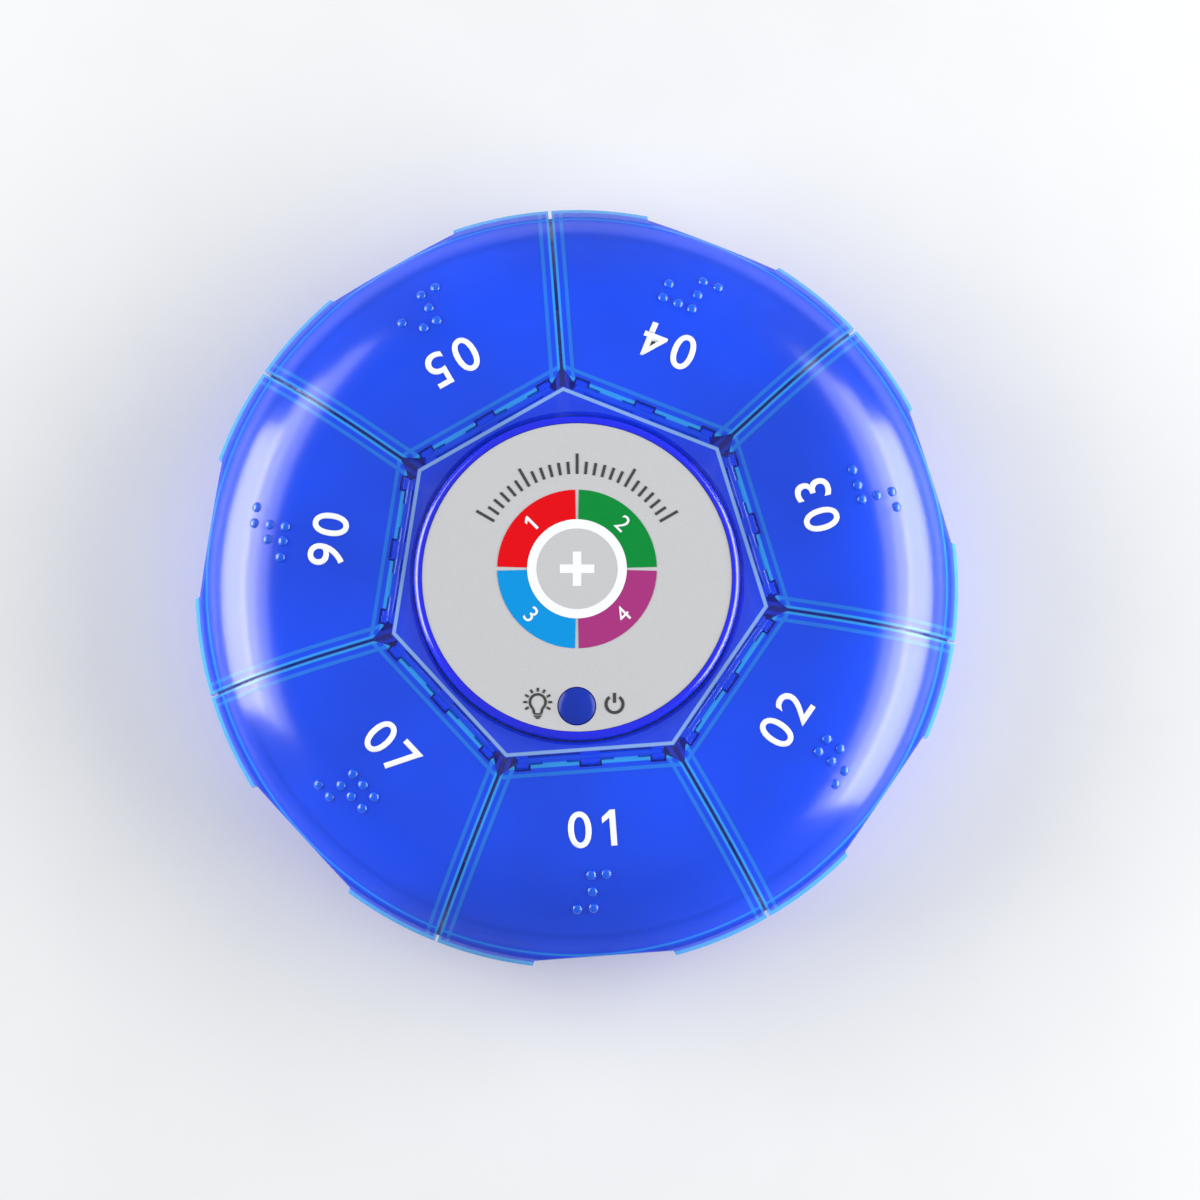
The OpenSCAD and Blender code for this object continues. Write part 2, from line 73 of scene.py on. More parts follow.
def lid_angle(number):
    """Direction of a lid's middle, with lid 1 towards -Y."""
    return -math.pi / 2 + LID_STEP * (number - 1)


def dome_height(radius):
    """Height of the lids' outer surface at a distance from the middle."""
    run = max(0.0, radius - DOME_START_R)
    return LID_TOP - DOME_R + math.sqrt(DOME_R**2 - run**2)


def dome_tilt(radius):
    """Slope of that surface, in radians."""
    return math.asin(max(0.0, radius - DOME_START_R) / DOME_R)


# Sizes and colours that a user may change


class PrintSizes(bpy.types.PropertyGroup):
    """Sizes of the print on the lids and the face."""

    numeral_height: bpy.props.FloatProperty(
        name="Numeral height", description="Height of the numeral on each lid",
        default=5.4 * MM, unit="LENGTH")
    numeral_radius: bpy.props.FloatProperty(
        name="Numeral radius", description="Distance of the numerals from the middle",
        default=37.9 * MM, unit="LENGTH")
    print_thickness: bpy.props.FloatProperty(
        name="Print thickness", description="Thickness of the printed ink",
        default=0.03 * MM, unit="LENGTH")
    ring_outer: bpy.props.FloatProperty(
        name="Colour ring outer radius", description="Outer radius of the four-colour ring",
        default=12.0 * MM, unit="LENGTH")
    ring_middle: bpy.props.FloatProperty(
        name="White ring outer radius", description="Outer radius of the white ring",
        default=7.5 * MM, unit="LENGTH")
    ring_inner: bpy.props.FloatProperty(
        name="White ring inner radius", description="Inner radius of the white ring",
        default=6.1 * MM, unit="LENGTH")
    ring_offset: bpy.props.FloatProperty(
        name="Ring offset", description="Distance of the rings' middle from the face's middle",
        default=1.2 * MM, unit="LENGTH")


class DotSizes(bpy.types.PropertyGroup):
    """Sizes of the raised dots on the lids."""

    pitch: bpy.props.FloatProperty(
        name="Dot pitch", description="Distance between dots of one cell",
        default=2.45 * MM, unit="LENGTH")
    cell_pitch: bpy.props.FloatProperty(
        name="Cell pitch", description="Distance between two cells",
        default=4.7 * MM, unit="LENGTH")
    radius: bpy.props.FloatProperty(
        name="Dot radius", description="Radius of a dot at its foot",
        default=0.78 * MM, unit="LENGTH")
    height: bpy.props.FloatProperty(
        name="Dot height", description="Height of a dot above the lid",
        default=0.45 * MM, unit="LENGTH")
    ring_radius: bpy.props.FloatProperty(
        name="Dot place", description="Distance of the dots' middle from the box's middle",
        default=47.2 * MM, unit="LENGTH")


def colour_property(label, words, value):
    """A colour setting with its name and description."""
    return bpy.props.FloatVectorProperty(
        name=label, description=words, default=value, size=3, subtype="COLOR", min=0, max=1)


class PlasticColours(bpy.types.PropertyGroup):
    """Colours of the moulded and printed surfaces."""

    lid: colour_property("Lid", "Clear blue of the lids", (0.0004, 0.080, 0.99))
    tray: colour_property("Tray", "Clear blue of the tray", (0.0004, 0.055, 0.99))
    housing: colour_property("Housing", "Deep blue of the timer", (0.001, 0.010, 0.90))
    button: colour_property("Button", "Dark blue of the push button", (0.004, 0.030, 0.40))
    # painted glow: this light blue is painted on upright faces and along the light lines, where
    # light pipes through the clear edges
    edge: colour_property("Edge", "Light blue where an edge gathers light", (0.04, 0.54, 1.0))
    label: colour_property("Label", "Grey of the face label", (0.57, 0.57, 0.58))
    ink: colour_property("Ink", "White print", (0.92, 0.93, 0.95))
    dark_ink: colour_property("Dark ink", "Dark print", (0.045, 0.045, 0.042))
    red: colour_property("Red", "First quarter", (0.76, 0.0015, 0.006))
    green: colour_property("Green", "Second quarter", (0.002, 0.25, 0.040))
    cyan: colour_property("Blue", "Third quarter", (0.002, 0.29, 0.72))
    violet: colour_property("Violet", "Fourth quarter", (0.38, 0.035, 0.20))


class StageSettings(bpy.types.PropertyGroup):
    """Camera, lamps and the world's light."""

    camera_distance: bpy.props.FloatProperty(
        name="Camera distance", description="From the lens to the middle of the base",
        default=0.6, unit="LENGTH")
    camera_azimuth: bpy.props.FloatProperty(
        name="Camera azimuth", description="Direction of the camera seen from above",
        default=math.radians(-97.16), subtype="ANGLE")
    camera_elevation: bpy.props.FloatProperty(
        name="Camera elevation", description="Height of the camera above the horizon",
        default=math.radians(83.99), subtype="ANGLE")
    camera_roll: bpy.props.FloatProperty(
        name="Camera roll", description="Turn of the picture about the view",
        default=math.radians(2.97), subtype="ANGLE")
    lens: bpy.props.FloatProperty(
        name="Lens", description="Focal length in millimetres on a 36 mm sensor",
        default=114.57)
    aim_right: bpy.props.FloatProperty(
        name="Aim right", description="Offset of the aim to the picture's right",
        default=3.6 * MM, unit="LENGTH")
    aim_up: bpy.props.FloatProperty(
        name="Aim up", description="Offset of the aim to the picture's top",
        default=-0.77 * MM, unit="LENGTH")
    softbox_radiance: bpy.props.FloatProperty(
        name="Softbox", description="Brightness of the lowest softboxes", default=7.6)
    softbox_fade: bpy.props.FloatProperty(
        name="Fade", description="Share of its brightness that each softbox passes to the next "
        "one above", default=0.55, min=0, max=1)
    world_light: bpy.props.FloatProperty(
        name="World", description="Brightness of the even light", default=0.32)


SETTINGS = {
    "pill_print": PrintSizes,
    "pill_dots": DotSizes,
    "pill_colours": PlasticColours,
    "pill_stage": StageSettings,
}


def setting(group, name):
    """One setting's value."""
    return getattr(getattr(bpy.context.scene, group), name)


# Modelling helpers


def deselect():
    """Leaves edit mode and selects nothing."""
    if bpy.context.object and bpy.context.object.mode != "OBJECT":
        bpy.ops.object.mode_set(mode="OBJECT")
    bpy.ops.object.select_all(action="DESELECT")


def only(piece):
    """Makes one piece selected and active."""
    deselect()
    piece.select_set(True)
    bpy.context.view_layer.objects.active = piece
    return piece


def settle(piece, place=None):
    """Bakes an optional transform and the object's own into its mesh."""
    only(piece)
    bpy.ops.object.transform_apply(location=True, rotation=True, scale=True)
    if place is not None:
        piece.data.transform(place)
    return piece


def finish_piece(piece, name, material, body):
    """Names a piece, gives it its material and body."""
    piece.name = name
    piece.data.name = name
    piece.data.materials.clear()
    piece.data.materials.append(material)
    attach(piece, body)
    return piece


def apply_modifier(piece, kind, **values):
    """Adds a modifier with these values and applies it."""
    only(piece)
    modifier = piece.modifiers.new(kind.title(), kind)
    for key, value in values.items():
        setattr(modifier, key, value)
    bpy.ops.object.modifier_apply(modifier=modifier.name)
    return piece


def spun(profile, steps, angle=math.tau, start=0.0):
    """Spins a profile of (radius, height) points about +Z into a surface."""
    deselect()
    bpy.ops.mesh.primitive_plane_add(size=1 * MM)
    piece = bpy.context.object
    bpy.ops.object.mode_set(mode="EDIT")
    mesh = bmesh.from_edit_mesh(piece.data)
    mesh.verts.ensure_lookup_table()
    bmesh.ops.delete(mesh, geom=list(mesh.verts)[2:], context="VERTS")
    mesh.verts.ensure_lookup_table()
    for vert, (radius, height) in zip(mesh.verts, profile[:2]):
        vert.co = (radius * math.cos(start), radius * math.sin(start), height)
        vert.select = False
    if not mesh.edges:
        mesh.edges.new(mesh.verts[:2])
    mesh.verts[1].select = True
    mesh.select_flush(True)
    bmesh.update_edit_mesh(piece.data)
    for (r0, z0), (r1, z1) in zip(profile[1:], profile[2:]):
        step = ((r1 - r0) * math.cos(start), (r1 - r0) * math.sin(start), z1 - z0)
        bpy.ops.mesh.extrude_region_move(TRANSFORM_OT_translate={"value": step})
    bpy.ops.mesh.select_all(action="SELECT")
    bpy.ops.mesh.spin(steps=steps, angle=-angle, center=(0, 0, 0), axis=(0, 0, 1))
    bpy.ops.mesh.select_all(action="SELECT")
    bpy.ops.mesh.remove_doubles(threshold=1e-6)
    bpy.ops.mesh.normals_make_consistent(inside=False)
    bpy.ops.object.mode_set(mode="OBJECT")
    return piece


def join(pieces):
    """Joins pieces into the first."""
    deselect()
    for piece in pieces:
        piece.select_set(True)
    bpy.context.view_layer.objects.active = pieces[0]
    bpy.ops.object.join()
    return pieces[0]


def smooth(piece, degrees=35):
    """Smooth shading with sharp edges kept."""
    only(piece)
    bpy.ops.object.shade_smooth_by_angle(angle=math.radians(degrees))
    return piece


def glyph(text, height, stroke=0.0):
    """Flat printed characters with their middle at the origin, as a mesh."""
    deselect()
    bpy.ops.object.text_add()
    curve = bpy.context.object
    curve.data.body = text
    size = height / DIGIT_SHARE
    curve.data.size = 1
    curve.data.align_x = "CENTER"
    curve.data.align_y = "CENTER"
    curve.data.offset = stroke / size
    curve.data.resolution_u = 6
    bpy.ops.object.convert(target="MESH")
    piece = bpy.context.object
    low = [min(v.co[k] for v in piece.data.vertices) for k in range(2)]
    high = [max(v.co[k] for v in piece.data.vertices) for k in range(2)]
    middle = Vector(((low[0] + high[0]) / 2, (low[1] + high[1]) / 2, 0))
    piece.data.transform(Matrix.Scale(size, 4) @ Matrix.Translation(-middle))
    return piece


ONE = ((0.14, -0.5), (0.14, 0.5), (0.0, 0.5), (-0.24, 0.30), (-0.24, 0.13), (-0.03, 0.28),
       (-0.03, -0.5))


def numeral(digit, height):
    """A flat printed digit; the font's own 1 has no flag, so it is drawn here."""
    if digit == "1":
        return polygon([(x * height, y * height) for x, y in ONE])
    return glyph(digit, height, BOLD if height > BOLD_FROM else 0.0)


def polygon(points):
    """Flat printed shape from its corners, counter-clockwise, facing up."""
    deselect()
    bpy.ops.mesh.primitive_circle_add(vertices=len(points), radius=1, fill_type="NGON")
    piece = bpy.context.object
    for vert, (x, y) in zip(piece.data.vertices, points):
        vert.co = (x, y, 0)
    piece.data.update()
    return face_up(piece)


def bar(length, width):
    """Flat printed bar along X, with its middle at the origin."""
    deselect()
    bpy.ops.mesh.primitive_plane_add(size=1)
    piece = bpy.context.object
    piece.scale = (length, width, 1)
    return settle(piece)


def face_up(piece):
    """Turns a flat piece's faces upwards."""
    if sum(face.normal.z * face.area for face in piece.data.polygons) < 0:
        only(piece)
        bpy.ops.object.mode_set(mode="EDIT")
        bpy.ops.mesh.select_all(action="SELECT")
        bpy.ops.mesh.flip_normals()
        bpy.ops.object.mode_set(mode="OBJECT")
    return piece


def thicken(piece, thickness):
    """Gives a flat print its thickness, upwards."""
    return apply_modifier(face_up(piece), "SOLIDIFY", thickness=thickness, offset=1.0)


# Materials


def new_material(name):
    """A material with only a Principled shader and its output."""
    material = bpy.data.materials.new(name)
    material.use_nodes = True
    tree = material.node_tree
    tree.nodes.clear()
    output = tree.nodes.new("ShaderNodeOutputMaterial")
    shader = tree.nodes.new("ShaderNodeBsdfPrincipled")
    tree.links.new(shader.outputs[0], output.inputs["Surface"])
    return material, tree, shader


def set_sockets(node, **values):
    """Sets sockets by name, with underscores for spaces."""
    for key, value in values.items():
        socket = node.inputs[key.replace("_", " ")]
        socket.default_value = (*value, 1) if isinstance(value, tuple) else value


def group_socket(group, name, way, kind="NodeSocketFloat", value=None):
    """Adds one named socket to a node group."""
    socket = group.interface.new_socket(name=name, in_out=way, socket_type=kind)
    if value is not None:
        socket.default_value = value


def sector_group():
    """Places on the ring of lids, in millimetres: from the joint, from the hub, and radius."""
    group = bpy.data.node_groups.new("sector_place", "ShaderNodeTree")
    for name in ("Side", "Rear", "Radius"):
        group_socket(group, name, "OUTPUT")
    nodes, links = group.nodes, group.links
    write = nodes.new("NodeGroupOutput")
    place = nodes.new("ShaderNodeTexCoord")
    split = nodes.new("ShaderNodeSeparateXYZ")
    links.new(place.outputs["Object"], split.inputs[0])

    def math_node(operation, first, second=None, third=None):
        node = nodes.new("ShaderNodeMath")
        node.operation = operation
        for socket, value in zip(node.inputs, (first, second, third)):
            if isinstance(value, (int, float)):
                socket.default_value = value
            elif value is not None:
                links.new(value, socket)
        return node.outputs[0]

    angle = math_node("ARCTAN2", split.outputs["Y"], split.outputs["X"])
    turns = math_node("MULTIPLY_ADD", angle, 1 / LID_STEP, math.pi / 2 / LID_STEP)
    nearest = math_node("ROUND", turns)
    local = math_node("MULTIPLY", math_node("SUBTRACT", turns, nearest), LID_STEP)
    across2 = math_node("MULTIPLY", split.outputs["X"], split.outputs["X"])
    square = math_node("MULTIPLY_ADD", split.outputs["Y"], split.outputs["Y"], across2)
    radius = math_node("MULTIPLY", math_node("SQRT", square), 1 / MM)
    along = math_node("MULTIPLY", radius, math_node("COSINE", local))
    across = math_node("ABSOLUTE", math_node("MULTIPLY", radius, math_node("SINE", local)))
    half = LID_STEP / 2
    side = math_node("SUBTRACT", math_node("MULTIPLY", along, math.sin(half)),
                     math_node("MULTIPLY", across, math.cos(half)))
    links.new(side, write.inputs["Side"])
    links.new(math_node("SUBTRACT", along, HUB_APOTHEM / MM), write.inputs["Rear"])
    links.new(radius, write.inputs["Radius"])
    return group


def band(tree, value, low, high, soft=0.08):
    """Mask that is 1 while a value lies between two limits, with soft ends."""
    masks = []
    for start, end in ((low - soft, low + soft), (high + soft, high - soft)):
        node = tree.nodes.new("ShaderNodeMapRange")
        node.interpolation_type = "SMOOTHSTEP"
        set_sockets(node, From_Min=start, From_Max=end, To_Min=0.0, To_Max=1.0)
        tree.links.new(value, node.inputs[0])
        masks.append(node.outputs[0])
    return both(tree, *masks)


def both(tree, first, second):
    """Mask where two masks meet."""
    node = tree.nodes.new("ShaderNodeMath")
    node.operation = "MULTIPLY"
    tree.links.new(first, node.inputs[0])
    tree.links.new(second, node.inputs[1])
    return node.outputs[0]


def strongest(tree, masks):
    """The strongest of several (mask, share) pairs."""
    total = None
    for mask, share in masks:
        scaled = tree.nodes.new("ShaderNodeMath")
        scaled.operation = "MULTIPLY"
        scaled.inputs[1].default_value = share
        tree.links.new(mask, scaled.inputs[0])
        if total is None:
            total = scaled.outputs[0]
            continue
        pick = tree.nodes.new("ShaderNodeMath")
        pick.operation = "MAXIMUM"
        tree.links.new(total, pick.inputs[0])
        tree.links.new(scaled.outputs[0], pick.inputs[1])
        total = pick.outputs[0]
    return total


def moulded_group():
    """Moulded clear plastic: flow marks, hairlines, and painted light and painted shade on
    upright faces and along lines.
    """
    group = bpy.data.node_groups.new("moulded_plastic", "ShaderNodeTree")
    group_socket(group, "Body", "INPUT", "NodeSocketColor", (0, 0, 1, 1))
    group_socket(group, "Edge", "INPUT", "NodeSocketColor", (0, 0.4, 1, 1))
    group_socket(group, "Edge Share", "INPUT", value=0.6)
    group_socket(group, "Gloss", "INPUT", value=0.1)
    group_socket(group, "Ripple", "INPUT", value=0.1)
    group_socket(group, "Light Line", "INPUT", value=0.0)
    group_socket(group, "Dark Line", "INPUT", value=0.0)
    group_socket(group, "Color", "OUTPUT", "NodeSocketColor")
    group_socket(group, "Roughness", "OUTPUT")
    group_socket(group, "Normal", "OUTPUT", "NodeSocketVector")
    nodes, links = group.nodes, group.links
    read = nodes.new("NodeGroupInput")
    write = nodes.new("NodeGroupOutput")
    place = nodes.new("ShaderNodeTexCoord")

    flow = nodes.new("ShaderNodeTexNoise")
    set_sockets(flow, Scale=38.0, Detail=2.0)
    links.new(place.outputs["Object"], flow.inputs["Vector"])
    grain = nodes.new("ShaderNodeTexNoise")
    set_sockets(grain, Scale=2600.0, Detail=3.0)
    links.new(place.outputs["Object"], grain.inputs["Vector"])
    stretch = nodes.new("ShaderNodeMapping")
    stretch.inputs["Rotation"].default_value = (0, 0, math.radians(31))
    stretch.inputs["Scale"].default_value = (90, 2400, 90)
    links.new(place.outputs["Object"], stretch.inputs["Vector"])
    hairs = nodes.new("ShaderNodeTexNoise")
    set_sockets(hairs, Scale=1.0, Detail=2.0)
    links.new(stretch.outputs[0], hairs.inputs["Vector"])
    hair_mask = nodes.new("ShaderNodeMapRange")
    set_sockets(hair_mask, From_Min=0.66, From_Max=0.74, To_Min=0.0, To_Max=1.0)
    links.new(hairs.outputs[0], hair_mask.inputs[0])

    # painted light: faces that stand upright on the piece get the edge colour, a painted glow of
    # light piped through the plastic, and painted shade where the edge colour is dark
    upright = nodes.new("ShaderNodeSeparateXYZ")
    links.new(place.outputs["Normal"], upright.inputs[0])
    lean = nodes.new("ShaderNodeMath")
    lean.operation = "ABSOLUTE"
    links.new(upright.outputs["Z"], lean.inputs[0])
    rim = nodes.new("ShaderNodeMapRange")
    set_sockets(rim, From_Min=0.10, From_Max=0.62, To_Min=1.0, To_Max=0.0)
    links.new(lean.outputs[0], rim.inputs[0])
    painted_edge_mask = nodes.new("ShaderNodeMath")
    painted_edge_mask.operation = "MULTIPLY"
    links.new(rim.outputs[0], painted_edge_mask.inputs[0])
    links.new(read.outputs["Edge Share"], painted_edge_mask.inputs[1])
    # the painted light lines take the edge colour as a painted glow
    share = nodes.new("ShaderNodeMath")
    share.operation = "MAXIMUM"
    links.new(painted_edge_mask.outputs[0], share.inputs[0])
    links.new(read.outputs["Light Line"], share.inputs[1])

    shade = nodes.new("ShaderNodeMix")
    shade.data_type = "RGBA"
    links.new(share.outputs[0], shade.inputs["Factor"])
    links.new(read.outputs["Body"], shade.inputs["A"])
    links.new(read.outputs["Edge"], shade.inputs["B"])
    vary = nodes.new("ShaderNodeHueSaturation")
    swing = nodes.new("ShaderNodeMapRange")
    set_sockets(swing, From_Min=0.3, From_Max=0.7, To_Min=0.86, To_Max=1.16)
    links.new(flow.outputs[0], swing.inputs[0])
    links.new(swing.outputs[0], vary.inputs["Value"])
    links.new(shade.outputs["Result"], vary.inputs["Color"])
    # painted shade: dark navy painted along the shade lines, where a slot or a steep rim lies in
    # shade
    painted_shade_mix = nodes.new("ShaderNodeMix")
    painted_shade_mix.data_type = "RGBA"
    painted_shade_mix.inputs["B"].default_value = (0.001, 0.004, 0.34, 1)
    links.new(read.outputs["Dark Line"], painted_shade_mix.inputs["Factor"])
    links.new(vary.outputs[0], painted_shade_mix.inputs["A"])
    links.new(painted_shade_mix.outputs["Result"], write.inputs["Color"])

    rough = nodes.new("ShaderNodeMath")
    rough.operation = "MULTIPLY_ADD"
    rough.inputs[1].default_value = 0.10
    links.new(grain.outputs[0], rough.inputs[0])
    links.new(read.outputs["Gloss"], rough.inputs[2])
    worn = nodes.new("ShaderNodeMath")
    worn.operation = "MULTIPLY_ADD"
    worn.inputs[1].default_value = 0.16
    links.new(hair_mask.outputs[0], worn.inputs[0])
    links.new(rough.outputs[0], worn.inputs[2])
    links.new(worn.outputs[0], write.inputs["Roughness"])

    ripple = nodes.new("ShaderNodeBump")
    set_sockets(ripple, Distance=0.4 * MM)
    links.new(flow.outputs[0], ripple.inputs["Height"])
    links.new(read.outputs["Ripple"], ripple.inputs["Strength"])
    links.new(ripple.outputs[0], write.inputs["Normal"])
    return group


def grain_group():
    """Fine grain for printed film, paint, board and metal."""
    group = bpy.data.node_groups.new("fine_grain", "ShaderNodeTree")
    group_socket(group, "Base", "INPUT", "NodeSocketColor", (0.5, 0.5, 0.5, 1))
    group_socket(group, "Grain Scale", "INPUT", value=3000.0)
    group_socket(group, "Tone Swing", "INPUT", value=0.06)
    group_socket(group, "Rough", "INPUT", value=0.4)
    group_socket(group, "Relief", "INPUT", value=0.1)
    group_socket(group, "Color", "OUTPUT", "NodeSocketColor")
    group_socket(group, "Roughness", "OUTPUT")
    group_socket(group, "Normal", "OUTPUT", "NodeSocketVector")
    nodes, links = group.nodes, group.links
    read = nodes.new("NodeGroupInput")
    write = nodes.new("NodeGroupOutput")
    place = nodes.new("ShaderNodeTexCoord")
    grain = nodes.new("ShaderNodeTexNoise")
    set_sockets(grain, Detail=3.0)
    links.new(place.outputs["Object"], grain.inputs["Vector"])
    links.new(read.outputs["Grain Scale"], grain.inputs["Scale"])
    centred = nodes.new("ShaderNodeMath")
    centred.operation = "SUBTRACT"
    centred.inputs[1].default_value = 0.5
    links.new(grain.outputs[0], centred.inputs[0])
    swing = nodes.new("ShaderNodeMath")
    swing.operation = "MULTIPLY"
    links.new(centred.outputs[0], swing.inputs[0])
    links.new(read.outputs["Tone Swing"], swing.inputs[1])
    value = nodes.new("ShaderNodeMath")
    value.operation = "MULTIPLY_ADD"
    value.inputs[1].default_value = 4.0
    value.inputs[2].default_value = 1.0
    links.new(swing.outputs[0], value.inputs[0])
    vary = nodes.new("ShaderNodeHueSaturation")
    links.new(value.outputs[0], vary.inputs["Value"])
    links.new(read.outputs["Base"], vary.inputs["Color"])
    links.new(vary.outputs[0], write.inputs["Color"])
    rough = nodes.new("ShaderNodeMath")
    rough.operation = "MULTIPLY_ADD"
    rough.inputs[1].default_value = 0.12
    links.new(grain.outputs[0], rough.inputs[0])
    links.new(read.outputs["Rough"], rough.inputs[2])
    links.new(rough.outputs[0], write.inputs["Roughness"])
    relief = nodes.new("ShaderNodeBump")
    set_sockets(relief, Distance=0.05 * MM)
    links.new(grain.outputs[0], relief.inputs["Height"])
    links.new(read.outputs["Relief"], relief.inputs["Strength"])
    links.new(relief.outputs[0], write.inputs["Normal"])
    return group


def use_group(tree, shader, group, values):
    """Places a finish group in a material and feeds the shader from it."""
    node = tree.nodes.new("ShaderNodeGroup")
    node.node_tree = group
    for key, value in values.items():
        node.inputs[key].default_value = value
    tree.links.new(node.outputs["Color"], shader.inputs["Base Color"])
    tree.links.new(node.outputs["Roughness"], shader.inputs["Roughness"])
    tree.links.new(node.outputs["Normal"], shader.inputs["Normal"])
    return node


FINISHES = {}


def clear_plastic(name, body, edge_share, alpha, gloss=0.05, ripple=0.12, coat=1.0,
                  light=(), dark=(), edge=None, matt_from=None):
    """Clear or tinted moulded plastic in the box's blue.

    Painted light lines and painted shade lines are (place, low, high, share), in millimetres
    on the ring of lids. Beyond `matt_from` millimetres from the middle the gloss fades, as on a
    moulded lip.
    """
    material, tree, shader = new_material(name)
    edge = edge or colour("edge")
    finish = use_group(tree, shader, FINISHES["moulded"], {
        "Body": (*body, 1), "Edge": (*edge, 1), "Edge Share": edge_share,
        "Gloss": gloss, "Ripple": ripple})
    if light or dark:
        sector = tree.nodes.new("ShaderNodeGroup")
        sector.node_tree = FINISHES["sector"]
        outside = band(tree, sector.outputs["Rear"], 0.1, 90.0)
        for socket, lines in (("Light Line", light), ("Dark Line", dark)):
            masks = []
            for key, low, high, share in lines:
                mask = band(tree, sector.outputs[key], low, high)
                masks.append((both(tree, mask, outside) if key == "Side" else mask, share))
            if masks:
                tree.links.new(strongest(tree, masks), finish.inputs[socket])
        if matt_from:
            fade = tree.nodes.new("ShaderNodeMapRange")
            set_sockets(fade, From_Min=matt_from, From_Max=matt_from + 0.9, To_Min=coat,
                        To_Max=0.12 * coat)
            tree.links.new(sector.outputs["Radius"], fade.inputs[0])
            tree.links.new(fade.outputs[0], shader.inputs["Coat Weight"])
    set_sockets(shader, IOR=1.52, Alpha=alpha, Specular_IOR_Level=0.15, Coat_Weight=coat,
                Coat_Roughness=0.17, Coat_IOR=1.78)
    return material


def grained(name, base, rough=0.4, scale=3000.0, tone=0.06, relief=0.1, metal=0.0, shine=0.5):
    """An opaque surface with fine grain."""
    material, tree, shader = new_material(name)
    use_group(tree, shader, FINISHES["grain"], {
        "Base": (*base, 1), "Grain Scale": scale, "Tone Swing": tone,
        "Rough": rough, "Relief": relief})
    set_sockets(shader, Metallic=metal, Specular_IOR_Level=shine)
    return material


def colour(name):
    """One of the user's colours."""
    return tuple(setting("pill_colours", name))


def make_finishes():
    """Builds every finish once."""
    FINISHES["sector"] = sector_group()
    FINISHES["moulded"] = moulded_group()
    FINISHES["grain"] = grain_group()
    # painted light: the light lines along the lids' sides, their hub ends and their rim are a
    # painted glow of light piped through the edges; the dark band near the rim is painted shade
    # of the steep shoulder
    FINISHES["lid"] = clear_plastic(
        "lid_clear_blue", colour("lid"), 0.85, 0.64, matt_from=55.6, light=(
            ("Side", 0.0, 0.62, 0.72), ("Side", 1.35, 1.9, 0.36),
            ("Rear", 1.2, 1.9, 0.72), ("Rear", 2.65, 3.2, 0.36),
            ("Radius", 56.4, 56.7, 0.5), ("Radius", 57.9, 60.0, 0.8)),
        dark=(("Radius", 57.0, 57.6, 0.35),))
    # painted highlight along the hub's lip and the rim, and painted shade along the slots under
    # the gaps between the lids
    FINISHES["tray"] = clear_plastic(
        "tray_clear_blue", colour("tray"), 0.35, 0.72, gloss=0.08,
        light=(("Rear", -0.62, -0.1, 0.9), ("Radius", 57.9, 60.0, 0.4)),
        dark=(("Side", -1.0, 0.40, 0.9),), edge=(0.34, 0.60, 1.0), matt_from=55.6)
    # the housing and the button get a little painted glow on their upright faces
    FINISHES["housing"] = clear_plastic("housing_blue", colour("housing"), 0.10, 0.94)
    FINISHES["button"] = clear_plastic("button_blue", colour("button"), 0.05, 1.0, coat=0.4)
    # painted shade: the dots' steep sides take a dark navy edge colour
    FINISHES["dot"] = clear_plastic("dot_blue", (0.001, 0.13, 0.95), 0.9, 0.80,
                                    edge=(0.001, 0.012, 0.30))
    FINISHES["label"] = grained("label_film", colour("label"), 0.34, 5200.0, 0.05, 0.05)
    FINISHES["ink"] = grained("white_ink", colour("ink"), 0.38, 4000.0, 0.02, 0.05)
    FINISHES["dark_ink"] = grained("dark_ink", colour("dark_ink"), 0.45, 4000.0, 0.10, 0.05)
    for name in ("red", "green", "cyan", "violet"):
        FINISHES[name] = grained("ink_" + name, colour(name), 0.5, 4000.0, 0.04, 0.05,
                                 shine=0.12)
    FINISHES["board"] = grained("board_green", (0.01, 0.16, 0.05), 0.35, 900.0, 0.10, 0.2)
    FINISHES["black"] = grained("black_moulding", (0.018, 0.018, 0.019), 0.5, 2500.0, 0.1, 0.2)
    FINISHES["steel"] = grained("bright_steel", (0.66, 0.66, 0.64), 0.22, 1800.0, 0.05, 0.1, 1.0)
    FINISHES["gold"] = grained("contact_metal", (0.80, 0.60, 0.26), 0.25, 1800.0, 0.05, 0.1, 1.0)
    FINISHES["lens"] = clear_plastic("lens_clear", (0.80, 0.86, 0.84), 0.0, 0.55)


def finish_node(name, finish):
    """Gives a CAD node its material."""
    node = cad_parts[name]
    node.data.materials.clear()
    node.data.materials.append(FINISHES[finish])


# Operators


class PILLBOX_OT_finishes(bpy.types.Operator):
    """Builds the finishes and gives the CAD nodes theirs"""

    bl_idname = "pillbox.finishes"
    bl_label = "Finishes"

    def execute(self, context):
        make_finishes()
        nodes = {
            "tray": "tray", "timer_case": "housing", "timer_bezel": "housing",
            "battery_door": "housing", "face_label": "label", "push_button": "button",
            "switch_plunger": "black", "switch_body": "black", "circuit_board": "board",
            "status_led": "lens", "buzzer": "black", "controller_chip": "black",
            "crystal": "steel", "chip_resistors": "black", "coin_cell": "steel",
            "cell_clip_positive": "gold", "cell_contact_negative": "gold",
            "case_screws": "steel", "board_screws": "steel",
        }
        for number in range(1, LIDS + 1):
            nodes[f"lid_{number}"] = "lid"
        for name, finish in nodes.items():
            finish_node(name, finish)
        return {"FINISHED"}


def on_lid(number, radius, across=0.0):
    """Places a flat piece on a lid with its foot outwards, `across` to its right."""
    angle = lid_angle(number)
    turn = Matrix.Rotation(angle + math.pi / 2, 4, "Z")
    return turn @ Matrix.Translation((across, -radius, 0))


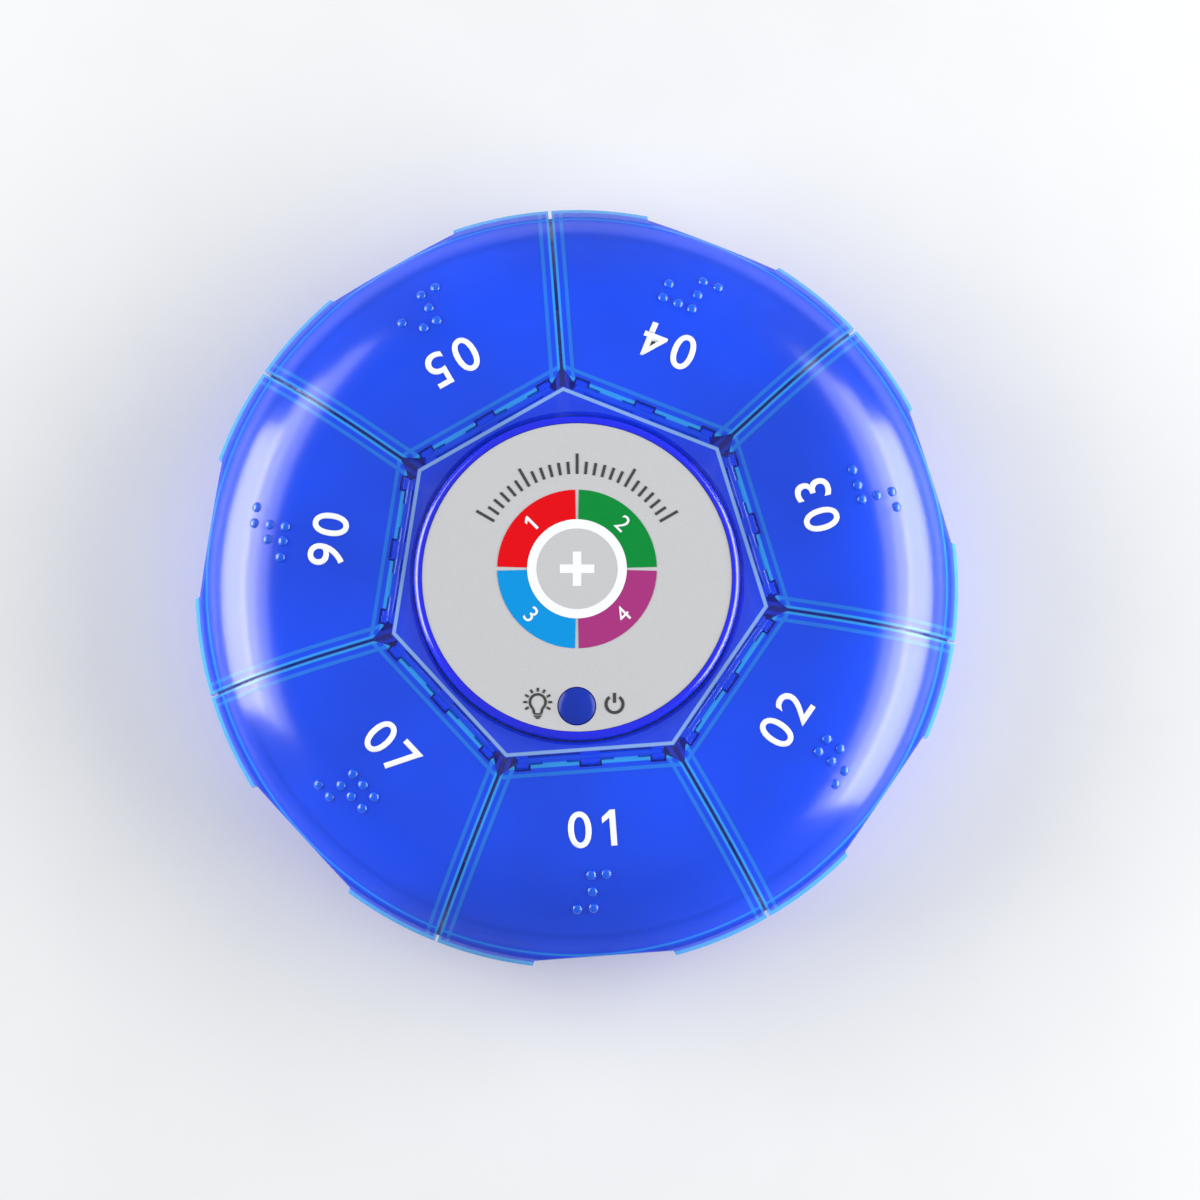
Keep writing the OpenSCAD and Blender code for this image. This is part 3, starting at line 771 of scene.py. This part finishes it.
def wrap_on_lid(piece, number):
    """Drapes a flat print on a lid's outer surface and gives it thickness."""
    only(piece)
    bpy.ops.object.mode_set(mode="EDIT")
    bpy.ops.mesh.select_all(action="SELECT")
    bpy.ops.mesh.quads_convert_to_tris()
    bpy.ops.mesh.subdivide(number_cuts=3)
    bpy.ops.object.mode_set(mode="OBJECT")
    for vert in piece.data.vertices:
        vert.co.z = dome_height(vert.co.xy.length) + LID_LIFT
    return thicken(piece, setting("pill_print", "print_thickness"))


class PILLBOX_OT_numerals(bpy.types.Operator):
    """Prints a two-digit numeral on each lid"""

    bl_idname = "pillbox.numerals"
    bl_label = "Lid numerals"

    def execute(self, context):
        height = setting("pill_print", "numeral_height")
        radius = setting("pill_print", "numeral_radius")
        spread = 2.35 * MM
        for number in range(1, LIDS + 1):
            marks = []
            for side, digit in ((-1, "0"), (1, str(number))):
                mark = numeral(digit, height)
                marks.append(settle(mark, Matrix.Translation((side * spread, 0, 0))))
            print_piece = join(marks)
            settle(print_piece, on_lid(number, radius))
            wrap_on_lid(print_piece, number)
            finish_piece(print_piece, f"numeral_{number}", FINISHES["ink"], f"lid_{number}")
        return {"FINISHED"}


NUMBER_SIGN = (3, 4, 5, 6)
DIGIT_DOTS = {1: (1,), 2: (1, 2), 3: (1, 4), 4: (1, 4, 5), 5: (1, 5), 6: (1, 2, 4),
              7: (1, 2, 4, 5)}


def dot_offset(index, pitch):
    """Place of a cell's dot 1 to 6, from the cell's middle."""
    column, row = divmod(index - 1, 3)
    return (column - 0.5) * pitch, (1 - row) * pitch


def raised_dot():
    """One low dome with its foot below the surface."""
    radius, height = setting("pill_dots", "radius"), setting("pill_dots", "height")
    steps, foot = 6, -0.15 * MM
    profile = [(0.0, height)]
    for step in range(1, steps + 1):
        turn = step / steps * math.pi / 2
        profile.append((radius * math.sin(turn), height * math.cos(turn)))
    profile += [(radius, foot), (0.0, foot)]
    return smooth(spun(profile, 20), 50)


class PILLBOX_OT_dots(bpy.types.Operator):
    """Raises the touch-reading dots of each lid's number"""

    bl_idname = "pillbox.dots"
    bl_label = "Raised dots"

    def execute(self, context):
        pitch, cell = setting("pill_dots", "pitch"), setting("pill_dots", "cell_pitch")
        place = setting("pill_dots", "ring_radius")
        master = raised_dot()
        for number in range(1, LIDS + 1):
            dots = []
            cells = ((-cell / 2, NUMBER_SIGN), (cell / 2, DIGIT_DOTS[number]))
            for shift, marks in cells:
                for index in marks:
                    across, inward = dot_offset(index, pitch)
                    spot = on_lid(number, place - inward, across + shift).translation
                    radius = spot.xy.length
                    out = Vector((spot.x, spot.y, 0)).normalized()
                    lean = dome_tilt(radius)
                    up = Vector((0, 0, 1)) * math.cos(lean) + out * math.sin(lean)
                    turn = up.to_track_quat("Z", "Y").to_matrix().to_4x4()
                    dot = master.copy()
                    dot.data = master.data.copy()
                    context.collection.objects.link(dot)
                    centre = Vector((spot.x, spot.y, dome_height(radius)))
                    dot.data.transform(Matrix.Translation(centre) @ turn)
                    dots.append(dot)
            piece = join(dots)
            finish_piece(piece, f"dots_{number}", FINISHES["dot"], f"lid_{number}")
        bpy.data.objects.remove(master)
        return {"FINISHED"}


def on_face(x, y, turn=0.0, lift=0.0):
    """Places a flat piece on the timer's face, in the face's own directions."""
    z = LABEL_TOP + FACE_LIFT + lift
    return (Matrix.Rotation(TIMER_TURN, 4, "Z") @ Matrix.Translation((x, y, z))
            @ Matrix.Rotation(turn, 4, "Z"))


def face_print(piece, name, finish, place):
    """Finishes one piece of the face's print."""
    settle(piece)
    thicken(piece, setting("pill_print", "print_thickness"))
    settle(piece, place)
    return finish_piece(piece, name, FINISHES[finish], "timer")


class PILLBOX_OT_face_ring(bpy.types.Operator):
    """Prints the four-colour ring, the white ring and the quarter numbers"""

    bl_idname = "pillbox.face_ring"
    bl_label = "Face ring"

    def execute(self, context):
        sizes = context.scene.pill_print
        gap, under, digit_height = 0.48 * MM, 0.3 * MM, 2.5 * MM
        quarters = (("red", "1", 1), ("green", "2", 0), ("cyan", "3", 2), ("violet", "4", 3))
        for finish, digit, quarter in quarters:
            middle_r = (sizes.ring_outer + sizes.ring_middle) / 2
            lean = math.asin(gap / 2 / middle_r)
            start = quarter * math.pi / 2 + lean
            piece = spun([(sizes.ring_middle - under, 0.0), (sizes.ring_outer, 0.0)], 24,
                         math.pi / 2 - 2 * lean, start)
            face_print(piece, f"quarter_{digit}", finish, on_face(0, sizes.ring_offset))
            angle = (quarter + 0.5) * math.pi / 2
            mark = numeral(digit, digit_height)
            upright = angle - math.pi / 2 if quarter < 2 else angle + math.pi / 2
            spot = (middle_r * math.cos(angle), middle_r * math.sin(angle) + sizes.ring_offset)
            face_print(mark, f"quarter_mark_{digit}", "ink",
                       on_face(*spot, upright, LAYER))
        disc = spun([(0.0, 0.0), (sizes.ring_inner, 0.0)], 64)
        face_print(disc, "ring_middle", "label", on_face(0, sizes.ring_offset, 0, MARK_LIFT))
        white = spun([(sizes.ring_inner, 0.0), (sizes.ring_middle, 0.0)], 96)
        face_print(white, "white_ring", "ink", on_face(0, sizes.ring_offset, 0, LAYER))
        return {"FINISHED"}


class PILLBOX_OT_face_marks(bpy.types.Operator):
    """Prints the plus, the scale of ticks and the two signs beside the button"""

    bl_idname = "pillbox.face_marks"
    bl_label = "Face marks"

    def execute(self, context):
        centre = setting("pill_print", "ring_offset")
        plus_span, plus_width = 5.2 * MM, 1.3 * MM
        arms = [bar(plus_span, plus_width), bar(plus_width, (plus_span - plus_width) / 2)]
        arms.append(bar(plus_width, (plus_span - plus_width) / 2))
        for side, arm in zip((1, -1), arms[1:]):
            settle(arm, Matrix.Translation((0, side * (plus_span + plus_width) / 4, 0)))
        face_print(join(arms), "plus_sign", "ink", on_face(0, centre, 0, LAYER))
        self.ticks(centre)
        self.bulb(-5.85 * MM, -18.9 * MM)
        self.power(5.65 * MM, -19.2 * MM)
        return {"FINISHED"}

    def ticks(self, centre):
        """A plain scale of short strokes over the ring."""
        inner, outer, long_outer = 14.4 * MM, 16.3 * MM, 17.5 * MM
        width, count, strokes = 0.42 * MM, 25, []
        for index in range(count):
            angle = math.radians(150 - 120 * index / (count - 1))
            top = long_outer if index % 6 == 0 else outer
            stroke = bar(top - inner, width)
            middle = (top + inner) / 2
            settle(stroke, Matrix.Rotation(angle, 4, "Z") @ Matrix.Translation((middle, 0, 0)))
            strokes.append(stroke)
        face_print(join(strokes), "face_scale", "dark_ink", on_face(0, centre))

    def bulb(self, x, y):
        """Outline of a lamp with rays."""
        parts = [spun([(0.98 * MM, 0.0), (1.36 * MM, 0.0)], 28, math.radians(284),
                      math.radians(-52))]
        for side in (-1, 1):
            neck = bar(0.38 * MM, 0.72 * MM)
            settle(neck, Matrix.Translation((side * 0.62 * MM, -1.30 * MM, 0))
                   @ Matrix.Rotation(side * math.radians(-14), 4, "Z"))
            parts.append(neck)
        for row, width in ((-1.78, 1.3), (-2.12, 1.1), (-2.42, 0.6)):
            cap = bar(width * MM, 0.24 * MM)
            settle(cap, Matrix.Translation((0, row * MM, 0)))
            parts.append(cap)
        for index in range(9):
            angle = math.radians(-30 + index * 30)
            ray = bar(0.58 * MM, 0.34 * MM)
            settle(ray, Matrix.Rotation(angle, 4, "Z") @ Matrix.Translation((1.86 * MM, 0, 0)))
            parts.append(ray)
        face_print(join(parts), "lamp_sign", "dark_ink", on_face(x, y))

    def power(self, x, y):
        """Open ring with a stroke."""
        ring = spun([(1.04 * MM, 0.0), (1.50 * MM, 0.0)], 28, math.radians(290),
                    math.radians(125))
        stroke = bar(0.46 * MM, 1.5 * MM)
        settle(stroke, Matrix.Translation((0, 0.95 * MM, 0)))
        face_print(join([ring, stroke]), "power_sign", "dark_ink", on_face(x, y))


def on_timer(x, y, z, turn=0.0, flip=False):
    """Places a flat piece inside the timer; flipped pieces look down."""
    place = (Matrix.Rotation(TIMER_TURN, 4, "Z") @ Matrix.Translation((x, y, z))
             @ Matrix.Rotation(turn, 4, "Z"))
    return place @ Matrix.Rotation(math.pi, 4, "X") if flip else place


def inner_print(piece, name, finish, place, thickness=TRACK_THICKNESS, body="timer"):
    """Finishes one flat mark on an inner piece."""
    settle(piece)
    thicken(piece, thickness)
    settle(piece, place)
    return finish_piece(piece, name, FINISHES[finish], body)


def centre_of(node):
    """Middle of a CAD node's box, in the timer's own directions."""
    low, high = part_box(node)
    return Matrix.Rotation(-TIMER_TURN, 4, "Z") @ ((low + high) / 2)


class PILLBOX_OT_board_print(bpy.types.Operator):
    """Lays tracks and outlines on the circuit board"""

    bl_idname = "pillbox.board_print"
    bl_label = "Board print"

    def execute(self, context):
        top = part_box("circuit_board")[1].z + MARK_LIFT
        chip, buzzer = centre_of("controller_chip"), centre_of("buzzer")
        crystal, lamp = centre_of("crystal"), centre_of("status_led")
        tracks = []
        pin_pitch, pin_reach = 1.27 * MM, 4.4 * MM
        for index in range(-2, 3):
            for side in (-1, 1):
                start = Vector((chip.x + index * pin_pitch, chip.y + side * pin_reach, 0))
                reach = (2.6 + 0.7 * (index + 2)) * MM
                strip = bar(0.3 * MM, reach)
                middle = start + Vector((0, side * reach / 2, 0))
                tracks.append(settle(strip, Matrix.Translation(middle)))
        for spot, reach in ((crystal, 5.0), (lamp, 6.0), (buzzer, 13.0)):
            strip = bar(reach * MM, 0.35 * MM)
            tracks.append(settle(strip, Matrix.Translation((spot.x + reach / 2 * MM, spot.y, 0))))
        inner_print(join(tracks), "board_tracks", "gold", on_timer(0, 0, top))
        rings = [spun([(6.35 * MM, 0.0), (6.6 * MM, 0.0)], 48),
                 spun([(2.2 * MM, 0.0), (2.4 * MM, 0.0)], 32)]
        settle(rings[0], Matrix.Translation((buzzer.x, buzzer.y, 0)))
        settle(rings[1], Matrix.Translation((lamp.x, lamp.y, 0)))
        inner_print(join(rings), "board_outlines", "ink", on_timer(0, 0, top + 0.06 * MM))
        return {"FINISHED"}


def cross_recess(size):
    """Flat cross for a screw's head."""
    return join([bar(size, size * 0.24), settle(bar(size * 0.24, size))])


class PILLBOX_OT_screw_marks(bpy.types.Operator):
    """Marks a cross recess on every screw"""

    bl_idname = "pillbox.screw_marks"
    bl_label = "Screw recesses"

    def execute(self, context):
        rows = (("case_screws", (30, 150, 225), 19.3, True),
                ("board_screws", (90, 200, 340), 18.6, False))
        for node, angles, radius, below in rows:
            low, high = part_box(node)
            level = low.z - MARK_LIFT if below else high.z + MARK_LIFT
            marks = []
            for degrees in angles:
                angle = math.radians(degrees)
                spot = (radius * MM * math.cos(angle), radius * MM * math.sin(angle), 0)
                mark = cross_recess(1.7 * MM)
                marks.append(settle(mark, Matrix.Translation(spot)
                                    @ Matrix.Rotation(angle * 1.7, 4, "Z")))
            piece = join(marks)
            thicken(piece, MARK_THICKNESS)
            if below:
                settle(piece, Matrix.Translation((0, 0, -MARK_THICKNESS)))
            settle(piece, on_timer(0, 0, level))
            finish_piece(piece, f"{node}_recess", FINISHES["black"], "timer")
        return {"FINISHED"}


class PILLBOX_OT_door_marks(bpy.types.Operator):
    """Marks the way the battery door turns, and the cell's plus pole"""

    bl_idname = "pillbox.door_marks"
    bl_label = "Door and cell marks"

    def execute(self, context):
        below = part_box("battery_door")[0].z - MARK_LIFT
        sweep = spun([(9.2 * MM, 0.0), (9.6 * MM, 0.0)], 20, math.radians(50), math.radians(65))
        angle = math.radians(115)
        tip = polygon([(-0.9 * MM, 0), (0.9 * MM, 0), (0, 1.5 * MM)])
        settle(tip, Matrix.Rotation(angle, 4, "Z") @ Matrix.Translation((9.4 * MM, 0, 0)))
        piece = join([sweep, tip])
        thicken(piece, MARK_THICKNESS)
        settle(piece, on_timer(0, 0, below, 0.0, True))
        finish_piece(piece, "door_arrow", FINISHES["ink"], "battery_door")
        cell_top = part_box("coin_cell")[0].z - MARK_LIFT
        plus = join([bar(3.0 * MM, 0.6 * MM), settle(bar(0.6 * MM, 3.0 * MM))])
        inner_print(plus, "cell_plus", "black", on_timer(0, 5.5 * MM, cell_top, 0.0, True),
                    MARK_THICKNESS)
        return {"FINISHED"}


class PILLBOX_OT_stage(bpy.types.Operator):
    """Lays the floor and sets up the world, the softboxes and the camera"""

    bl_idname = "pillbox.stage"
    bl_label = "Stage"

    def execute(self, context):
        deselect()
        bpy.ops.mesh.primitive_plane_add(size=8)
        floor = context.object
        floor.name = "floor"
        material, tree, shader = new_material("floor_pale")
        use_group(tree, shader, FINISHES["grain"], {
            "Base": (0.80, 0.80, 0.80, 1), "Grain Scale": 60.0, "Tone Swing": 0.01,
            "Rough": 0.6, "Relief": 0.02})
        floor.data.materials.append(material)
        self.world(context)
        self.softboxes(context)
        self.camera(context)
        context.scene.view_settings.view_transform = "Standard"
        return {"FINISHED"}

    def world(self, context):
        world = bpy.data.worlds.new("even_light")
        world.use_nodes = True
        shade = world.node_tree.nodes["Background"]
        shade.inputs["Color"].default_value = (0.93, 0.96, 1.0, 1)
        shade.inputs["Strength"].default_value = context.scene.pill_stage.world_light
        context.scene.world = world

    def softboxes(self, context):
        """Softboxes stacked at the left and right, each dimmer than the one below."""
        stage = context.scene.pill_stage
        away, widen = 0.55, 0.16
        rows = ((0.16, 0.20), (0.30, 0.12), (0.42, 0.14))  # (middle's height, own height)
        sides = (("left", 168, -4, 0.50), ("right", -5, 3, 0.74))  # direction, lean, width
        boxes = [(f"softbox_{side}_{index}", angle + index * lean, width + index * widen,
                  height, level, stage.softbox_radiance * stage.softbox_fade**index)
                 for side, angle, lean, width in sides
                 for index, (level, height) in enumerate(rows)]
        for name, angle, width, height, level, radiance in boxes:
            turn = math.radians(angle)
            spot = Vector((away * math.cos(turn), away * math.sin(turn), level))
            lamp = bpy.data.lights.new(name, "AREA")
            lamp.shape, lamp.size, lamp.size_y = "RECTANGLE", width, height
            lamp.energy = radiance * math.pi * width * height
            piece = bpy.data.objects.new(name, lamp)
            context.collection.objects.link(piece)
            piece.location = spot
            aim = Vector((0, 0, 0.02)) - spot
            piece.rotation_euler = aim.to_track_quat("-Z", "Y").to_euler()

    def camera(self, context):
        stage = context.scene.pill_stage
        azimuth, elevation = stage.camera_azimuth, stage.camera_elevation
        back = Vector((math.cos(elevation) * math.cos(azimuth),
                       math.cos(elevation) * math.sin(azimuth), math.sin(elevation)))
        right = Vector((0, 0, 1)).cross(back).normalized()
        up = back.cross(right)
        turn = stage.camera_roll
        side = right * math.cos(turn) + up * math.sin(turn)
        top = up * math.cos(turn) - right * math.sin(turn)
        lens = bpy.data.cameras.new("camera")
        lens.lens, lens.sensor_width, lens.sensor_fit = stage.lens, 36, "HORIZONTAL"
        lens.clip_start, lens.clip_end = 0.01, 20
        piece = bpy.data.objects.new("camera", lens)
        context.collection.objects.link(piece)
        place = Matrix((side, top, back)).transposed().to_4x4()
        place.translation = (back * stage.camera_distance + side * stage.aim_right
                             + top * stage.aim_up)
        piece.matrix_world = place
        context.scene.camera = piece


class PILLBOX_PT_panel(bpy.types.Panel):
    """Settings and steps of the pill box"""

    bl_label = "Pill Box"
    bl_idname = "PILLBOX_PT_panel"
    bl_space_type = "VIEW_3D"
    bl_region_type = "UI"
    bl_category = "Pill Box"

    def draw(self, context):
        for name, kind in SETTINGS.items():
            box = self.layout.box()
            for key in kind.__annotations__:
                box.prop(getattr(context.scene, name), key)
        for step in STEPS:
            self.layout.operator(step.bl_idname)


STEPS = (
    PILLBOX_OT_finishes,
    PILLBOX_OT_numerals,
    PILLBOX_OT_dots,
    PILLBOX_OT_face_ring,
    PILLBOX_OT_face_marks,
    PILLBOX_OT_board_print,
    PILLBOX_OT_screw_marks,
    PILLBOX_OT_door_marks,
    PILLBOX_OT_stage,
)
CLASSES = (*SETTINGS.values(), *STEPS, PILLBOX_PT_panel)


def register():
    """Registers the classes and their settings."""
    for kind in CLASSES:
        bpy.utils.register_class(kind)
    for name, kind in SETTINGS.items():
        setattr(bpy.types.Scene, name, bpy.props.PointerProperty(type=kind))


def unregister():
    """Takes the classes and settings away."""
    for name in SETTINGS:
        delattr(bpy.types.Scene, name)
    for kind in reversed(CLASSES):
        bpy.utils.unregister_class(kind)


def main():
    """Runs every step."""
    register()
    for step in STEPS:
        group, name = step.bl_idname.split(".")
        getattr(getattr(bpy.ops, group), name)()


if __name__ == "__main__":
    main()
